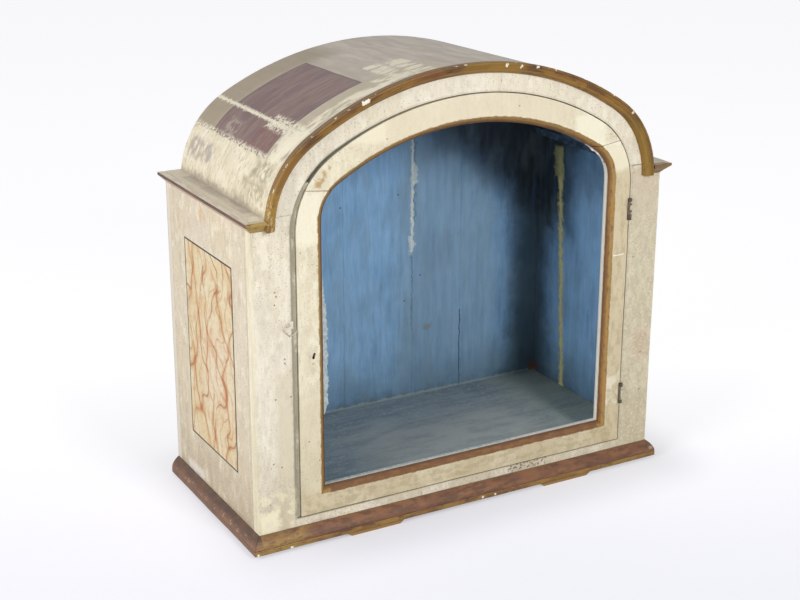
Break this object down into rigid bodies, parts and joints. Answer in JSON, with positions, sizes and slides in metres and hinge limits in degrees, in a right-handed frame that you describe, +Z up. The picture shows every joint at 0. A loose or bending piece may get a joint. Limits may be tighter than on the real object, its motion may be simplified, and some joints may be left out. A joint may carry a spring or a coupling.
{
  "type": "tabernacle",
  "caption": "Arched wooden tabernacle: a painted case with a barrel-vault roof, gilt mouldings, a blue interior and an open-framed arched door with lock and wire catch.",
  "frame": {"origin": "on the floor, under the middle of the bounding box", "axes": "+X to the right of someone facing the door, +Y towards the back, +Z up"},
  "size_m": [0.788, 0.358, 0.7525],
  "materials": {
    "cream_paint": "old cream paint over gesso, satin, cracked and worn",
    "rose_paint": "pinkish grey paint with a faux-marble panel",
    "blue_paint": "matt blue paint, scuffed",
    "vault_paint": "grey-beige paint with a purple-brown panel, worn",
    "gilt": "old gilding, rubbed to brown",
    "brown_paint": "red-brown paint with a gilt fillet",
    "strip_grey": "grey-beige paint",
    "bare_wood": "old bare softwood",
    "iron": "dark wrought iron, partly painted over"
  },
  "bodies": {
    "case": {"runner_left": "bare_wood", "runner_right": "bare_wood", "base_board": "bare_wood", "floor_bearer_left": "bare_wood", "floor_bearer_right": "bare_wood", "floor_board": "blue_paint", "plinth_front": "brown_paint", "plinth_left": "brown_paint", "plinth_right": "brown_paint", "side_left_front_board": "rose_paint", "side_left_rear_board": "rose_paint", "side_right_front_board": "rose_paint", "side_right_rear_board": "rose_paint", "back_plank_1": "blue_paint", "back_plank_2": "blue_paint", "back_plank_3": "blue_paint", "back_plank_4": "blue_paint", "back_plank_5": "blue_paint", "ledge_left": "cream_paint", "ledge_right": "cream_paint", "cornice_left": "brown_paint", "cornice_right": "brown_paint", "cornice_return_left": "gilt", "cornice_return_right": "gilt", "vault_stave_1": "vault_paint", "vault_stave_2": "vault_paint", "vault_stave_3": "vault_paint", "vault_stave_4": "vault_paint", "vault_stave_5": "vault_paint", "vault_stave_6": "vault_paint", "vault_stave_7": "vault_paint", "vault_stave_8": "vault_paint", "vault_stave_9": "vault_paint", "facade_stile_left": "cream_paint", "facade_stile_right": "cream_paint", "facade_bottom_rail": "cream_paint", "facade_arch": "cream_paint", "latch_stop_strip": "strip_grey", "arch_moulding_left": "gilt", "arch_moulding_crown": "gilt", "arch_moulding_right": "gilt", "upper_hinge_frame_leaf": "iron", "upper_hinge_pin": "iron", "lower_hinge_frame_leaf": "iron", "lower_hinge_pin": "iron", "latch_nail": "iron"},
    "door": {"door_stile_left": "cream_paint", "door_stile_right": "cream_paint", "door_bottom_rail": "cream_paint", "door_arch_head": "cream_paint", "upper_hinge_door_leaf": "iron", "lower_hinge_door_leaf": "iron", "lock_case": "iron"},
    "bolt": {"lock_bolt": "iron"},
    "catch": {"latch_wire": "iron"}
  },
  "joints": [
    {"name": "door_hinge", "type": "hinge", "parent": "case", "child": "door", "pos_m": [0.31825, -0.167, 0.306], "axis": [0, 0, 1], "range_deg": [0, 115]},
    {"name": "bolt_slide", "type": "slide", "parent": "door", "child": "bolt", "axis": [-1, 0, 0], "range_m": [0, 0.0075]},
    {"name": "catch_turn", "type": "hinge", "parent": "case", "child": "catch", "pos_m": [-0.323, -0.1663, 0.377], "axis": [0, -1, 0], "range_deg": [-90, 40]}
  ]
}
